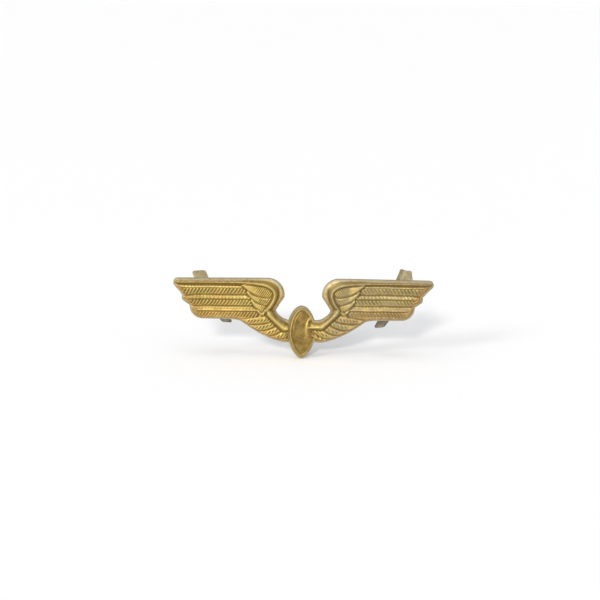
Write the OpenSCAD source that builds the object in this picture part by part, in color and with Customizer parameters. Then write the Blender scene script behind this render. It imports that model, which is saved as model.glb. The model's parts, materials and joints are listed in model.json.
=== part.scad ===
// Winged wheel badge: a struck brass plate with two wings and a railway wheel in relief,
// held to cloth by two split prong fasteners that are soldered in the hollow behind each wing.
// Frame: X runs along the wingspan, Z is up, the struck face looks along -Y and the back rim
// that lies on the cloth is the plane y = 0. The origin is the middle of that back.

/* [Badge] */
// Overall width, wing tip to wing tip
span = 60; // [58.5:0.25:61.5]
// Overall height, foot of the wheel to the top of the wings
height = 18.8; // [18.6:0.1:19.2]
// Thickness of the struck plate at its edge
plate_t = 1.2; // [1.1:0.05:1.4]
// Depth of the hollow behind each wing
hollow_d = 0.5; // [0.45:0.05:0.6]
// Width of the flat rim left around each hollow
seat_rim = 0.6; // [0.5:0.05:0.7]

/* [Wings] */
// Gap between the two shoulders
shoulder_gap = 8.6; // [8.4:0.1:9]
// Radius of the shoulder's outer bend
shoulder_r = 4; // [3.9:0.05:4.2]
// Height of the topmost primary feather
feather_h = 2.25; // [2.15:0.05:2.35]
// How much deeper each primary feather is than the one above it
feather_growth = 0.42; // [0.36:0.02:0.48]
// How far the feather ends of the wing with the worn tips are set back
tip_wear = 0.3; // [0:0.05:0.4]
// Distance from one barb to the next along a feather
barb_pitch = 0.77; // [0.7:0.01:1]
// Short secondary feathers under each arm bone
secondaries = 5; // [4:1:5]
// Radius of the arm bone
bone_r = 0.9; // [0.8:0.05:1]

/* [Wheel] */
// Height of the wheel over its flange
wheel_h = 12.3; // [12:0.1:12.6]
// Width of the wheel, foreshortened as struck
wheel_w = 6.8; // [6.4:0.1:7]
// Highest point of the relief above the back
relief_h = 3.4; // [3.2:0.1:3.8]

/* [Fasteners] */
// Distance between the middles of the two fasteners
fastener_pitch = 42.8; // [42:0.1:43.4]
// Outward lean of the left strip from upright, in degrees
left_lean = 29; // [27:1:31]
// Outward lean of the right strip from upright, in degrees
right_lean = 26; // [24:1:28]
// Width of the brass strip
strip_w = 3.6; // [3.2:0.1:3.7]
// Width of a lower prong at its tip
tip_w = 2.6; // [2.2:0.1:2.8]
// Width of the plain upper prong at its tip
upper_tip_w = 3.3; // [2.8:0.1:3.4]
// Thickness of the strip
strip_t = 0.5; // [0.4:0.05:0.55]
// Length of a lower prong from its bend to its tip
lower_l = 10; // [9.4:0.1:10.2]
// Length of an upper prong from its bend to its tip
upper_l = 8.4; // [8:0.1:9]
// Angle by which each prong is twisted above its root, which turns its tip level
prong_twist = 35; // [30:1:38]
// Angle of each right prong from straight back, in degrees
right_splay = 44; // [42:1:45]
// Angle of each left prong from straight back, in degrees
left_splay = 39; // [36:1:41]
// Distance between the bend lines of one fastener
bend_gap = 2.4; // [2:0.1:2.6]

/* [Hidden] */
$fn = 32;

brass = [0.74, 0.58, 0.28];
old_brass = [0.62, 0.54, 0.36];
solder_grey = [0.56, 0.55, 0.52];

half_w = span / 2;
top_z = height / 2;
foot_z = -height / 2;
embed = 0.3;

shoulder_c = [shoulder_gap / 2 + shoulder_r, top_z - shoulder_r - 0.1];
armpit = [6.6, 1.4];
tip_r = 1;
tip_c = [half_w - tip_r, top_z - 0.3 - tip_r];
corner_r = 3.05;
panel_z = top_z - 9.7;
rim_w = 1.45;
vane_low = plate_t + 0.2;
vane_high = plate_t + 0.65;
rim_top = plate_t + 1;
spine_r = 0.3;
barb_w = 0.42;
terrace = 0.09;

wheel_c = [-0.35, foot_z + wheel_h / 2];
face_c = [0.15, wheel_c.y];
dish_c = [1.9, wheel_c.y + 0.1];
wheel_rim = 1;
elbow = [4.2, -2.05];
wrist = [7.3, 0.5];

fastener_z = top_z - 5.4;
crown_y = -hollow_d + 0.1;
bend_y = crown_y + strip_t / 2;
bend_play = 0.05;
crown_l = bend_gap - strip_t - 2 * bend_play;
solder_rim = 0.6;
twist_z = 0.9;
twist_l = 4;
fold_z = 3;
snip = 1;

// Points of an arc about c from angle a0 to a1, in n steps
function arc(c, r, a0, a1, n = 8) =
    [for (i = [0:n]) c + r * [cos(a0 + (a1 - a0) * i / n), sin(a0 + (a1 - a0) * i / n)]];

// Points of a flattened wheel about c with half axes a and b, more pointed below its middle
function lens(c, a, b, n = 60) = [
    for (i = [0:n - 1])
        let (t = 360 * i / n, p = t <= 180 ? 1.05 : 1.25)
        c + [a * sign(cos(t)) * pow(abs(cos(t)), p), b * sign(sin(t)) * pow(abs(sin(t)), p)]
];

// Points of a curve from a to c that bends towards b
function bend(a, b, c, n = 8) = [
    for (i = [0:n]) let (t = i / n) (1 - t) * (1 - t) * a + 2 * t * (1 - t) * b + t * t * c
];

// Top edge of primary feather i, counted from the leading edge down
function feather_z(i) = top_z - rim_w - i * feather_h - i * (i - 1) / 2 * feather_growth;

// Free tip of covert feather i, and of secondary feather i, counted from the leading edge down
function covert_tip(i) = [14.45 - 1.2 * i, 7.95 - 2.15 * i];
function secondary_tip(i) = [13.6 - 2.15 * i, -1.3 - 1.62 * i + 0.14 * i * i];

// Outline of one wing's plate, from the armpit round the shoulder, tip and feather ends.
// The feather ends are set back by wear.
function wing_outline(wear) = concat(
    [armpit, [5.65, 3], [4.85, 4.2]],
    arc(shoulder_c, shoulder_r, 184, 92, 14),
    arc(tip_c, tip_r, 88, -35, 8),
    [[half_w - 1.15 - wear / 2, 6.45], [half_w - 1.9 - wear / 2, 5.6]],
    arc([half_w - 3.15 - wear, 4.65], 1.05, 25, -50, 5),
    [[half_w - 3.9 - wear, 2.9]],
    arc([half_w - 7 - wear, panel_z + corner_r], corner_r, 0, -90, 9),
    [[15, panel_z]],
    [for (i = [0:4]) secondary_tip(i)],
    [[3.4, -5.7], [1, -5.2], [1, 0], [3.7, -0.8]]
);

// Draws a flat outline in the badge's plane, standing out from depth a to depth b
module relief(a, b) {
    translate([0, -a, 0]) rotate([90, 0, 0]) linear_extrude(b - a) children();
}

// Long bar along X whose face slopes from depth d_top at z_top to depth d_low at z_low
module sloped_bar(x0, x1, z_low, z_top, d_low, d_top) {
    translate([x0, 0, 0]) rotate([90, 0, 90]) linear_extrude(x1 - x0)
        polygon([[-embed, z_low], [-embed, z_top], [-d_top, z_top], [-d_low, z_low]]);
}

// A row of slanted barbs between two heights
module barb_row(x0, x1, z_low, z_top, d) {
    slant = 0.75 * (z_top - z_low);
    for (x = [x0:barb_pitch:x1])
        relief(embed, d) polygon([
            [x, z_top], [x + barb_w, z_top], [x + barb_w + slant, z_low], [x + slant, z_low]
        ]);
}

// The raised rim along the leading edge and round the shoulder, ending in a point
module leading_rim(inset, d) {
    groove_z = top_z - rim_w + inset;
    outer = concat(
        [[6.9, 1.5], [6, 3]],
        arc(shoulder_c, shoulder_r - inset, 184, 92, 14),
        arc(tip_c, tip_r - inset, 88, -60, 6)
    );
    inner = concat(
        [[half_w - 2.2, groove_z], [11.5, groove_z]],
        bend([9.6, groove_z - 0.15], [7, 7.5], [6.6 - inset, 5.6], 6),
        bend([6.6 - inset, 5.4], [6.9, 2.9], [9.7, 0.7], 8)
    );
    relief(embed, d) polygon(concat(outer, inner));
}

// One primary feather: a sloped vane, a round shaft and a row of barbs below it
module primary(i) {
    z = feather_z(i);
    h = feather_h + i * feather_growth;
    x_in = 13.4 - 1.2 * i;
    x_out = half_w - 2.4 - 2 * i;
    sloped_bar(8, half_w, z - h + 0.15, z, vane_low, vane_high);
    translate([x_in, -vane_high + 0.12, z - 0.33 * h]) rotate([0, 90, 0])
        cylinder(r = spine_r, h = x_out - x_in);
    barb_row(x_in, x_out - 1.2, z - 0.92 * h, z - 0.56 * h, vane_high);
}

// Overlapping covert feathers that fan out from the shoulder, each a terrace above the next
module coverts() {
    for (i = [0:3]) {
        root = [7.2 + 0.65 * i, 4.8 - 1.35 * i];
        edge = bend(root, covert_tip(i) - [3.1 - 0.7 * i, 2.95 - 0.6 * i], covert_tip(i));
        relief(embed, vane_high + 0.15 + (3 - i) * terrace)
            polygon(concat(edge, [covert_tip(max(i - 1, 0)) + [-0.8, -0.5], [9, 7.9], [6, 6]]));
    }
}

// Short feathers that hang below the arm bone like shingles
module secondary_feathers() {
    for (i = [0:secondaries - 1]) {
        root = [7.4 - 1.05 * i, -0.3 - 1.05 * i];
        edge = bend(root, [9 - 1.25 * i, -1.3 - 1.4 * i], secondary_tip(i));
        relief(embed, vane_low + 0.1 + (secondaries - 1 - i) * terrace)
            polygon(concat(edge, [for (j = [i - 1:-1:0]) secondary_tip(j)], [[14.8, 0], [8, 1]]));
    }
}

// Round arm bone from the wing's wrist to the elbow, and the axle from there into the wheel
module arm_bone() {
    for (p = [wrist, elbow]) translate([p.x, -plate_t, p.y]) sphere(r = bone_r);
    d = elbow - wrist;
    translate([wrist.x, -plate_t, wrist.y]) rotate([0, atan2(d.x, d.y), 0])
        cylinder(r = bone_r, h = norm(d));
    translate([0.6, -plate_t, elbow.y]) rotate([0, 90, 0]) cylinder(r = bone_r, h = elbow.x - 0.6);
}

// One wing in relief, drawn for the +X side
module wing(wear) {
    relief(0, plate_t) polygon(wing_outline(wear));
    leading_rim(0.3, rim_top - 0.35);
    leading_rim(0.55, rim_top);
    intersection() {
        relief(embed, relief_h) offset(delta = -0.3) polygon(wing_outline(wear));
        union() {
            for (i = [0:2]) primary(i);
            coverts();
            secondary_feathers();
        }
    }
    arm_bone();
}

// Hollow behind one wing, which leaves a flat rim on the cloth side
module hollow() {
    relief(-1, hollow_d) offset(delta = -seat_rim) polygon(concat(
        arc(shoulder_c, shoulder_r, 184, 92, 14),
        arc(tip_c, tip_r, 88, -60, 4),
        arc([half_w - 7 - tip_wear, panel_z + corner_r], corner_r, 0, -90, 8),
        [[15, panel_z], [9.5, -1.2], armpit]
    ));
}

// Shallow hollow behind the lower part of the wheel
module wheel_hollow() {
    relief(-1, hollow_d) polygon(lens(wheel_c - [0, 1.3], wheel_w / 2 - wheel_rim, 3.4));
}

// The flanged wheel seen three-quarter on: a face that falls away to the right behind a lip,
// and a dish in it that the axle comes out of
module wheel() {
    difference() {
        intersection() {
            relief(0, relief_h) polygon(lens(wheel_c, wheel_w / 2, wheel_h / 2));
            translate([0, 0, foot_z - 1]) linear_extrude(wheel_h + 2)
                polygon([[-5, 0], [5, 0], [5, -plate_t], [-2.8, -relief_h + 0.1], [-5, -relief_h + 1]]);
        }
        relief(relief_h - 0.5, relief_h + 1) polygon(lens(face_c, wheel_w / 2 - 0.55, wheel_h / 2 - 0.6));
        relief(plate_t + 0.4, relief_h + 1) polygon(lens(dish_c, 1.65, 4.1));
    }
}

module badge_shell() {
    color(brass) difference() {
        union() {
            wing(tip_wear);
            mirror([1, 0, 0]) wing(-tip_wear / 2);
            wheel();
        }
        hollow();
        mirror([1, 0, 0]) hollow();
        wheel_hollow();
    }
}

// Puts a fastener's own frame, with its strip along Z and its bends along X, behind the +X wing
module behind_wing(lean) {
    translate([fastener_pitch / 2, 0, fastener_z]) rotate([0, lean, 0]) children();
}

// Flat middle of the folded strip, soldered into the hollow
module crown(lean) {
    color(old_brass) behind_wing(lean) translate([-strip_w / 2, crown_y, -crown_l / 2])
        cube([strip_w, strip_t, crown_l]);
}

// Bed of solder under the crown with a bead along each side of it
module solder(lean) {
    color(solder_grey) behind_wing(lean) difference() {
        translate([-strip_w / 2 - solder_rim, -hollow_d, -crown_l / 2])
            cube([strip_w + 2 * solder_rim, crown_y + hollow_d + 0.25, crown_l]);
        translate([-strip_w / 2, crown_y, -crown_l]) cube([strip_w, 1, 2 * crown_l]);
    }
}

// The bend of a prong, along X at the origin, and the first stretch of its strip up Z
module prong_root() {
    rotate([0, 90, 0]) cylinder(r = strip_t / 2, h = strip_w, center = true);
    translate([-strip_w / 2, -strip_t / 2, 0]) cube([strip_w, strip_t, twist_z]);
}

// Strip of length l, twisted above its root and straight from there on.
// Its cross-section is the child shape.
module twisted_strip(l) {
    prong_root();
    translate([0, 0, twist_z - 0.1])
        linear_extrude(twist_l + 0.1, twist = prong_twist, slices = 8) children();
    translate([0, 0, twist_z + twist_l - 0.1]) rotate([0, 0, -prong_twist])
        linear_extrude(l - twist_z - twist_l + 0.1) offset(delta = -0.015) children();
}

// Cross-section of a strip, and of one whose inner edge is folded forward
module strip_section() {
    square([strip_w, strip_t], center = true);
}

module folded_section() {
    fold_x = -strip_w / 4;
    translate([fold_x, -strip_t / 2]) square([strip_w / 2 - fold_x, strip_t]);
    polygon([
        [fold_x, -strip_t / 2], [-strip_w / 2, -strip_t / 2 - 0.7],
        [-strip_w / 2 - 0.3, -0.4], [fold_x, strip_t / 2]
    ]);
}

// Room that a twisted strip of length l is cut to. The corners of its tip are rounded, and a
// width of cut is snipped off the outer one.
module blade(w_root, w_tip, l, cut = 0) {
    r = 0.7;
    rotate([0, 0, -prong_twist]) translate([0, 3, -strip_t]) rotate([90, 0, 0])
        linear_extrude(6) polygon(concat(
            [[-w_root / 2, 0], [w_root / 2, 0], [w_tip / 2, l + strip_t - 3]],
            arc([w_tip / 2 - cut - r, l + strip_t - r], r, 0, 90, 5),
            arc([-w_tip / 2 + r, l + strip_t - r], r, 90, 180, 5),
            [[-w_tip / 2, l + strip_t - 3]]
        ));
}

// The stretch of a prong between two heights above its bend
module between(z0, z1) {
    intersection() {
        translate([-5, -5, z0]) cube([10, 10, z1 - z0]);
        children();
    }
}

// Puts an upper or a lower prong at its bend, turned by its splay
module at_upper_bend(lean, splay) {
    color(old_brass) behind_wing(lean) translate([0, bend_y, bend_gap / 2])
        rotate([splay - 90, 0, 0]) children();
}

module at_lower_bend(lean, splay) {
    color(old_brass) behind_wing(lean) translate([0, bend_y, -bend_gap / 2])
        rotate([-90 - splay, 0, 0]) children();
}

module lower_prong() {
    intersection() {
        twisted_strip(lower_l) strip_section();
        blade(strip_w + 0.4, tip_w, lower_l);
    }
}

module left_upper_prong() {
    mirror([1, 0, 0]) at_upper_bend(left_lean, left_splay) intersection() {
        twisted_strip(upper_l) strip_section();
        blade(strip_w + 0.4, upper_tip_w, upper_l);
    }
}

module left_lower_prong() {
    mirror([1, 0, 0]) at_lower_bend(left_lean, left_splay) lower_prong();
}

module right_upper_prong() {
    at_upper_bend(right_lean, right_splay) intersection() {
        union() {
            between(-strip_t, fold_z) twisted_strip(upper_l) strip_section();
            between(fold_z, upper_l) twisted_strip(upper_l) folded_section();
        }
        blade(strip_w + 0.6, strip_w + 0.6, upper_l, snip);
    }
}

module right_lower_prong() {
    at_lower_bend(right_lean, right_splay) lower_prong();
}

badge_shell();
mirror([1, 0, 0]) solder(left_lean);  // left_solder_joint
solder(right_lean);  // right_solder_joint
mirror([1, 0, 0]) crown(left_lean);  // left_fastener_crown
crown(right_lean);  // right_fastener_crown
left_upper_prong();
left_lower_prong();
right_upper_prong();
right_lower_prong();
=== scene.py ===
import json
import math

import bpy
import numpy as np
from mathutils import Matrix, Vector
from mathutils.geometry import delaunay_2d_cdt

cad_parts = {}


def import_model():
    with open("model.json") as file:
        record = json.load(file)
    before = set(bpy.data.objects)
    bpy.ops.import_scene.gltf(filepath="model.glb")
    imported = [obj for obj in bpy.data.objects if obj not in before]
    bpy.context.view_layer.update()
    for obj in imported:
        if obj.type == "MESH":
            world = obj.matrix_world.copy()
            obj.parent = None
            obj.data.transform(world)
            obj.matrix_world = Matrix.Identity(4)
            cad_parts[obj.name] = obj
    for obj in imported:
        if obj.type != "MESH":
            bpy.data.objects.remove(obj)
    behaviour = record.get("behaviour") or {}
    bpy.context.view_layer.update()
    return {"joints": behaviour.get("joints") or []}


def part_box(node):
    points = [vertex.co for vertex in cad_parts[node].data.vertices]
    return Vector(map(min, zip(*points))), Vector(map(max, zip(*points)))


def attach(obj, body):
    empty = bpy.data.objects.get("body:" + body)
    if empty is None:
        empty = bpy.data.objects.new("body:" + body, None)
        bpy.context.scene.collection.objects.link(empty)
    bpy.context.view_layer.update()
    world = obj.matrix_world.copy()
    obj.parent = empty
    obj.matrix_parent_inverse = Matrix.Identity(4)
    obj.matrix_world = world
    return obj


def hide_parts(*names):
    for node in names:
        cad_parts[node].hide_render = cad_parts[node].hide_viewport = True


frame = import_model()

# The badge's frame: X along the wingspan, Z up, the struck face looks along -Y, the back is y = 0.
# Relief work is done in millimetres, where u is the distance outward from the middle of the badge.
MM = 0.001
SEED = 20


def box_mm(node):
    """Lowest and highest corner of a CAD node at rest, in millimetres."""
    lo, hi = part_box(node)
    return np.array(lo) / MM, np.array(hi) / MM


shell_lo, shell_hi = box_mm("badge_shell")
HALF_W = shell_hi[0]     # half the wingspan
TOP_Z = shell_hi[2]      # top of the wings
FOOT_Z = shell_lo[2]     # foot of the wheel
CREST = -shell_lo[1]     # height of the highest relief above the back


def add(name, data):
    """A new object in the scene."""
    obj = bpy.data.objects.new(name, data)
    bpy.context.scene.collection.objects.link(obj)
    return obj


def set_attribute(mesh, name, values):
    """Stores one number per vertex for a material to read."""
    mesh.attributes.new(name, "FLOAT", "POINT").data.foreach_set("value", values.astype(np.float32))


# ---------------------------------------------------------------- curves and fields in the plane

def arc(centre, radius, start, end, n):
    """Points of an arc in degrees."""
    a = np.radians(np.linspace(start, end, n + 1))
    return [(centre[0] + radius * math.cos(t), centre[1] + radius * math.sin(t)) for t in a]


def spline(points, steps=10):
    """Smooth curve through the points (Catmull-Rom)."""
    p = np.array(points, float)
    p = np.vstack([2 * p[0] - p[1], p, 2 * p[-1] - p[-2]])
    t = np.linspace(0, 1, steps, endpoint=False)[:, None]
    parts = []
    for a, b, c, d in zip(p[:-3], p[1:-2], p[2:-1], p[3:]):
        parts.append(0.5 * (2 * b + (c - a) * t + (2 * a - 5 * b + 4 * c - d) * t ** 2
                            + (3 * b - a - 3 * c + d) * t ** 3))
    return np.vstack(parts + [p[-2:-1]])


def rounded(points, rounds=2):
    """A closed outline with its corners cut smooth (Chaikin)."""
    p = np.array(points, float)
    for _ in range(rounds):
        q = np.roll(p, -1, axis=0)
        p = np.stack([0.75 * p + 0.25 * q, 0.25 * p + 0.75 * q], 1).reshape(-1, 2)
    return p


def step(edge0, edge1, x):
    """Smooth step from 0 at edge0 to 1 at edge1."""
    t = np.clip((x - edge0) / (edge1 - edge0), 0, 1)
    return t * t * (3 - 2 * t)


def smooth_max(a, b, k):
    """The larger of two heights, blended where they are less than about k apart."""
    h = np.clip(0.5 + 0.5 * (a - b) / k, 0, 1)
    return b + (a - b) * h + k * h * (1 - h)


def mound(distance, width):
    """Rounded ridge: 1 where the distance is 0, fading over about a width."""
    return np.exp(-(distance / width) ** 2)


def near_curve(curve, u, z):
    """Signed distance to an open curve, positive on its left, and the share of its length passed."""
    curve = np.asarray(curve, float)
    best = np.full(u.shape, 1e9)
    sign = np.ones(u.shape)
    along = np.zeros(u.shape)
    lengths = np.hypot(*np.diff(curve, axis=0).T)
    passed = np.concatenate([[0], np.cumsum(lengths)])
    for (ax, az), (bx, bz), length, start in zip(curve[:-1], curve[1:], lengths, passed):
        dx, dz = (bx - ax) / length, (bz - az) / length
        s = (u - ax) * dx + (z - az) * dz
        t = np.clip(s, 0, length)
        ex, ez = u - ax - t * dx, z - az - t * dz
        d = np.hypot(ex, ez)
        closer = d < best
        best = np.where(closer, d, best)
        sign = np.where(closer, np.where(dx * ez - dz * ex >= 0, 1.0, -1.0), sign)
        along = np.where(closer, (start + t) / passed[-1], along)
    return best * sign, along


def inside_depth(outline, u, z):
    """Distance from a closed outline, positive inside it."""
    p = np.asarray(outline, float)
    q = np.roll(p, -1, axis=0)
    best = np.full(u.shape, 1e9)
    within = np.zeros(u.shape, bool)
    for (ax, az), (bx, bz) in zip(p, q):
        dx, dz = bx - ax, bz - az
        square = dx * dx + dz * dz
        if square < 1e-12:
            continue
        t = np.clip(((u - ax) * dx + (z - az) * dz) / square, 0, 1)
        best = np.minimum(best, (u - ax - t * dx) ** 2 + (z - az - t * dz) ** 2)
        crosses = (az > z) != (bz > z)
        if dz:
            within ^= crosses & (u < ax + dx * (z - az) / dz)
    return np.sqrt(best) * np.where(within, 1, -1)


def blurred(field, sigma_cells):
    """Gaussian blur of a 2-D array."""
    n = int(3 * sigma_cells) + 1
    kernel = np.exp(-0.5 * (np.arange(-n, n + 1) / sigma_cells) ** 2)
    kernel /= kernel.sum()
    for axis in (0, 1):
        pad = [(n, n) if a == axis else (0, 0) for a in (0, 1)]
        padded = np.pad(field, pad, mode="edge")
        field = sum(k * np.take(padded, range(i, i + field.shape[axis]), axis=axis)
                    for i, k in enumerate(kernel))
    return field


def wander(coordinate, period, seed):
    """Smooth 1-D noise from -1 to 1 that changes over about a period."""
    rng = np.random.default_rng(seed)
    table = rng.uniform(-1, 1, 256)
    x = coordinate / period
    i = np.floor(x).astype(int)
    t = x - i
    t = t * t * (3 - 2 * t)
    return table[i % 256] * (1 - t) + table[(i + 1) % 256] * t


def patchy(u, z, period, seed):
    """Smooth 2-D noise from about -1 to 1."""
    rng = np.random.default_rng(seed)
    table = rng.uniform(-1, 1, (64, 64))
    x, y = u / period, z / period
    i, j = np.floor(x).astype(int), np.floor(y).astype(int)
    s, t = x - i, y - j
    s, t = s * s * (3 - 2 * s), t * t * (3 - 2 * t)
    i0, i1, j0, j1 = i % 64, (i + 1) % 64, j % 64, (j + 1) % 64
    return ((table[i0, j0] * (1 - s) + table[i1, j0] * s) * (1 - t)
            + (table[i0, j1] * (1 - s) + table[i1, j1] * s) * t)


# ---------------------------------------------------------------- outline of the badge

SHOULDER = (8.3, TOP_Z - 4)
SHOULDER_R = 4.0
TIP_R = 1.0
TIP = (HALF_W - TIP_R, TOP_Z - 0.2 - TIP_R)
PANEL_Z = TOP_Z - 9.6
CORNER_R = 3.05
LOWER_TIPS = [(13.6 - 2.15 * i, -1.3 - 1.62 * i + 0.14 * i * i) for i in range(5)]
WHEEL = (-0.35, FOOT_Z + 6.15)
WHEEL_A, WHEEL_B = 3.4, 6.15

# For each wing: its side, how far its feather ends are worn back, how far its feathers are struck above their
# usual place, how crisp its barbs are, and how far apart.
SIDES = {"left": {"sign": -1, "wear": -0.15, "lift": -0.12, "barb": 1.0, "pitch": 0.79, "seed": 3},
         "right": {"sign": 1, "wear": 0.3, "lift": 0.12, "barb": 0.66, "pitch": 0.84, "seed": 7}}


def wing_outline(wear):
    """One wing, from the armpit round the shoulder, the tip and the feather ends, to the wheel."""
    points = [(6.6, 1.4), (5.65, 3.0), (4.85, 4.2)]
    points += arc(SHOULDER, SHOULDER_R, 184, 92, 14)
    points += arc(TIP, TIP_R, 88, -35, 8)
    points += [(HALF_W - 1.15 - wear / 2, 6.45), (HALF_W - 1.9 - wear / 2, 5.6)]
    points += arc((HALF_W - 3.15 - wear, 4.65), 1.05, 25, -50, 5)
    points += [(HALF_W - 3.9 - wear, 2.9)]
    points += arc((HALF_W - 7 - wear, PANEL_Z + CORNER_R), CORNER_R, 0, -90, 9)
    points += [(15, PANEL_Z)] + LOWER_TIPS
    points += [(3.4, -5.7), (1, -5.2), (1, 0), (3.7, -0.8)]
    return rounded(points)


def lens_depth(x, z, centre, a, b):
    """About the depth inside a flattened wheel, more pointed below its middle."""
    dx, dz = (x - centre[0]) / a, (z - centre[1]) / b
    power = np.where(dz > 0, 1.9, 1.6)
    reach = (np.abs(dx) ** power + np.abs(dz) ** power) ** (1 / power) + 1e-9
    scale = np.hypot(dx, dz) / np.maximum(np.hypot(dx / a, dz / b), 1e-6)
    return (1 - reach) * scale


# ---------------------------------------------------------------- relief of one wing

EDGE = 0.95          # thickness where the bevelled edge starts
PLATE = 1.4          # level of the plain plate inside the bevel
BEVEL = 0.55         # width of the bevelled edge
SLANT = 0.66         # how far a barb's foot lies outward of its head, per unit of height
RIM_TOP = 2.15       # level of the leading edge's crest
BONE_TOP = 2.35      # level of the arm bone
STAGGER = 1.9        # how much shorter each long feather is than the one above it
ROPE_PITCH = 0.84    # distance between the twists of a long feather's shaft

RIM_CREST = [(29.1, TOP_Z - 0.95), (23.6, TOP_Z - 0.88), (15.2, TOP_Z - 0.9), (11.0, TOP_Z - 1.1),
             (8.9, TOP_Z - 1.4), (7.5, TOP_Z - 2.05), (6.75, 6.5), (6.5, 5.5), (6.75, 4.4), (7.25, 3.4),
             (7.9, 2.45), (8.6, 1.65), (9.3, 1.0), (9.9, 0.65)]
BONE = [(7.9, 1.25), (6.5, -0.12), (4.75, -1.75), (4.2, -2.1), (3.4, -2.12), (0.7, -2.15)]
PANEL = [(10.4, 0.35), (12.2, 0.05), (15.2, -0.4), (30, -0.4), (30, 9), (6, 9), (6, 5), (8.5, 1.2)]

# The long feathers: heights of the vane, the shaft and the rows of barbs, the shaft's half width and rise,
# how deep its twists are, and how deep the barbs are cut.
PRIMARIES = (
    {"top": 7.95, "foot": 5.7, "shaft": 7.3, "shaft_w": 0.15, "shaft_h": 0.16, "twist": 0.5, "cut": 0.32,
     "upper": (8.05, 7.55), "barbs": (6.92, 5.82)},
    {"top": 5.7, "foot": 3.05, "shaft": 4.82, "shaft_w": 0.25, "shaft_h": 0.36, "twist": 0.75, "cut": 0.25,
     "upper": (5.6, 5.2), "barbs": (4.22, 3.2)},
    {"top": 3.05, "foot": -0.3, "shaft": 1.95, "shaft_w": 0.17, "shaft_h": 0.26, "twist": 0.35, "cut": 0.27,
     "upper": (2.95, 2.3), "barbs": (1.45, 0.35)})

# The covert feathers: the lower edge from root to tip, and where the barbs start and stop above that edge and
# how far out they reach.
COVERTS = ({"edge": [(8.5, 1.15), (9.2, 0.72), (9.8, 0.8), (10.4, 1.3), (10.9, 2.2)],
            "bars": (0.12, 0.8, 10.0)},
           {"edge": [(7.7, 2.45), (8.6, 1.68), (9.4, 1.62), (10.4, 2.15), (11.4, 2.9), (12.0, 3.9)],
            "bars": (0.15, 1.2, 10.3)},
           {"edge": [(6.9, 3.9), (7.9, 3.3), (8.8, 3.15), (9.8, 3.5), (10.9, 3.95), (11.9, 4.6), (12.8, 5.6),
                     (13.1, 6.3)], "bars": (0.2, 1.3, 10.8)},
           {"edge": [(6.6, 5.75), (7.4, 5.2), (8.4, 4.97), (9.8, 5.2), (11.2, 5.6), (12.4, 6.25), (13.4, 7.0),
                     (14.5, 7.85)], "bars": (0.15, 2.7, 11.2)})
COVERT_BACK = [(8.5, 8.2), (6.4, 7), (6.2, 5)]

# The short feathers under the arm bone: the lower edge of each from root to tip.
SECONDARIES = ([(2.0, -4.3), (3.0, -4.95), (4.2, -5.35), (5.6, -5.6)],
               [(2.5, -3.35), (3.9, -4.3), (5.0, -4.75), (6.2, -4.95), (7.4, -4.95)],
               [(4.6, -2.5), (5.4, -3.1), (6.6, -3.7), (7.9, -4.0), (9.4, -4.07)],
               [(5.8, -1.1), (6.7, -1.85), (8.2, -2.5), (9.5, -2.75), (11.6, -2.8)],
               [(6.9, 0.0), (7.7, -0.75), (9.3, -1.15), (11.3, -1.3), (13.8, -1.3)])
SECONDARY_BACK = [(14.5, 0.6), (7.9, 1.4), (4.0, -1.6), (1.5, -2.5)]
END_STEPS = ((0.75, 0.09), (1.25, 0.1), (1.75, 0.05))    # distance in from the feather ends, and depth


def barb_ridges(u, z, pitch, seed):
    """Slanted ridges from 0, between two barbs, to 1, on a barb. Each is cut a little differently."""
    across = (u + SLANT * z) / pitch + 0.13 * wander(u, 1.9, seed)
    ridge = 0.5 - 0.5 * np.cos(2 * math.pi * across)
    return ridge * (1 + 0.3 * wander(across, 1.0, seed + 1))


def primaries_relief(u, z, side):
    """The three long feathers, each a shingle with a fine twisted shaft between two rows of barbs."""
    lean = 0.5 * mound(z - 5.5, 1.1) * step(24.5, 28, u)
    zr = z - side["lift"] + lean + 0.04 * wander(u, 3.1, side["seed"])
    height = np.full(u.shape, PLATE)
    for i, f in enumerate(PRIMARIES):
        down = f["top"] - zr
        body = PLATE - 0.06 + 0.34 * step(0, 0.42, down) - 0.05 * down
        reach = HALF_W - STAGGER - STAGGER * i - side["wear"]
        worn = 0.8 + 0.35 * wander(u, 4.0, side["seed"] + 30 + i)
        shaft_end = 1 - step(reach - 0.9, reach + 0.5, u)
        twist = f["twist"] * (0.5 + 0.5 * side["barb"])
        rope = 1 - twist * (1 - barb_ridges(u, zr, ROPE_PITCH, side["seed"] + 40 + i))
        body += f["shaft_h"] * worn * rope * shaft_end * mound(zr - f["shaft"], f["shaft_w"])
        for (head, foot), strength, seed in ((f["barbs"], 1, 10 * i), (f["upper"], 0.4, 10 * i + 5)):
            in_row = step(head + 0.12, head - 0.1, zr) * step(foot - 0.12, foot + 0.14, zr)
            in_row *= 1 - step(reach - 1.0, reach, u + 0.4 * (zr - head))
            cut = strength * side["barb"] * worn
            ridges = barb_ridges(u, zr, side["pitch"] - 0.03 * i, side["seed"] + seed)
            body += in_row * cut * (0.33 * f["cut"] - f["cut"] * (1 - ridges))
        body -= 0.12 * shaft_end * mound(zr - f["barbs"][0] - 0.16, 0.09)
        height = np.where((zr < f["top"]) & (zr >= f["foot"]), body, height)
    return height


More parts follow.
